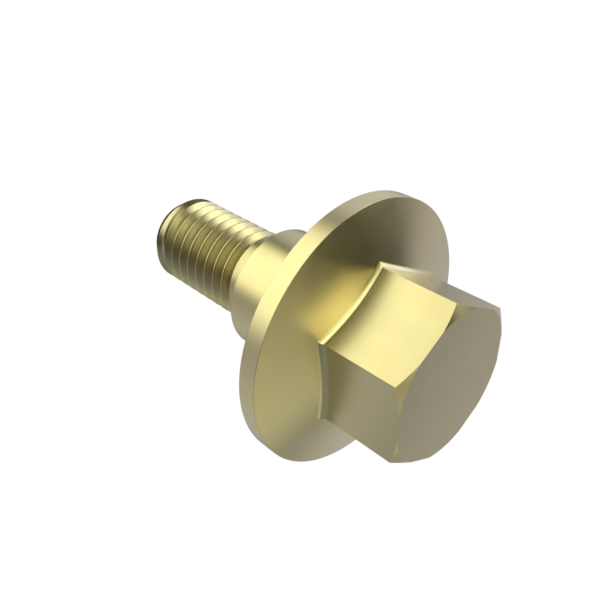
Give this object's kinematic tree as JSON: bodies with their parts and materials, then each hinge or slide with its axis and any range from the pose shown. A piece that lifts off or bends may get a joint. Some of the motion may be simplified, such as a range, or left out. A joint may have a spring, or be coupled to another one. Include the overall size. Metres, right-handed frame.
{
  "type": "hex flange screw",
  "caption": "Hexagon head running into a wide conical flange, with a plain shoulder and a threaded shank, for holding a part on its shoulder or clamping it under the flange.",
  "frame": {"origin": "middle of the hexagon head's face, which the screw stands on", "axes": "+Z along the screw's axis towards the thread's tip, +X through one corner of the hexagon"},
  "size_m": [0.0336, 0.0336, 0.0469],
  "materials": {
    "zinc_plating": "steel, zinc plated and yellow passivated, satin"
  },
  "bodies": {
    "root": {"screw": "zinc_plating"}
  },
  "joints": []
}
